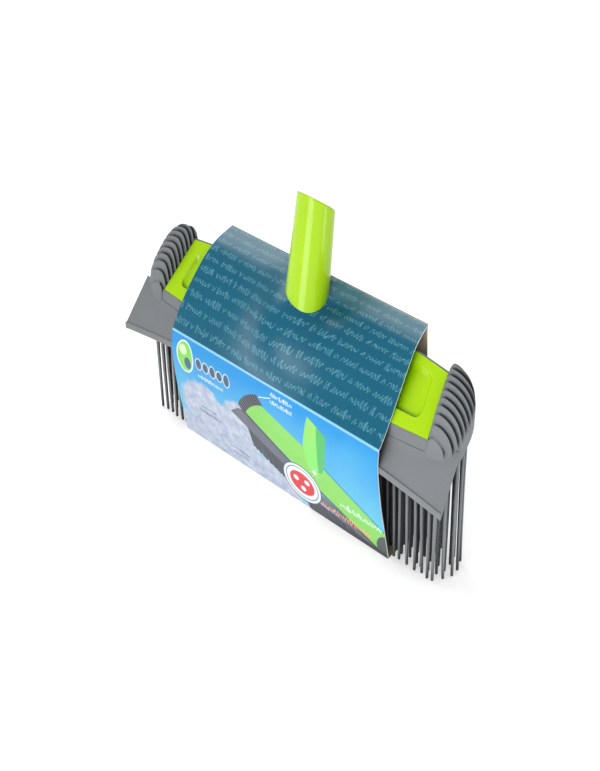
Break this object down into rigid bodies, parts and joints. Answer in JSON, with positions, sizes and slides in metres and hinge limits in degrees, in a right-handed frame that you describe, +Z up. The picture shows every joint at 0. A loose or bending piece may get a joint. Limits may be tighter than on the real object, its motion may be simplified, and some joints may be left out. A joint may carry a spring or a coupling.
{
  "type": "rubber broom head",
  "caption": "Long rubber broom head with a tilted plastic deck, tapered handle socket, squeegee lip, ribbed end caps, upright rubber bristles and a printed card band round its middle.",
  "frame": {"origin": "under the middle of the head's box, on the surface that it stands on", "axes": "+X along the head, +Y to its back, where the deck is higher, +Z up along the bristles"},
  "size_m": [0.32, 0.0628, 0.2379],
  "materials": {
    "lime_plastic": "smooth glossy moulding",
    "grey_rubber": "satin thermoplastic rubber",
    "printed_card": "thin printed card with a gloss varnish"
  },
  "bodies": {
    "root": {"deck_plate": "lime_plastic", "handle_socket": "lime_plastic", "rubber_body": "grey_rubber", "squeegee_lip": "grey_rubber", "end_cap_left": "grey_rubber", "end_cap_right": "grey_rubber", "bristle_row_1": "grey_rubber", "bristle_row_2": "grey_rubber", "bristle_row_3": "grey_rubber", "bristle_row_4": "grey_rubber", "bristle_row_5": "grey_rubber", "card_sleeve": "printed_card"}
  },
  "joints": []
}
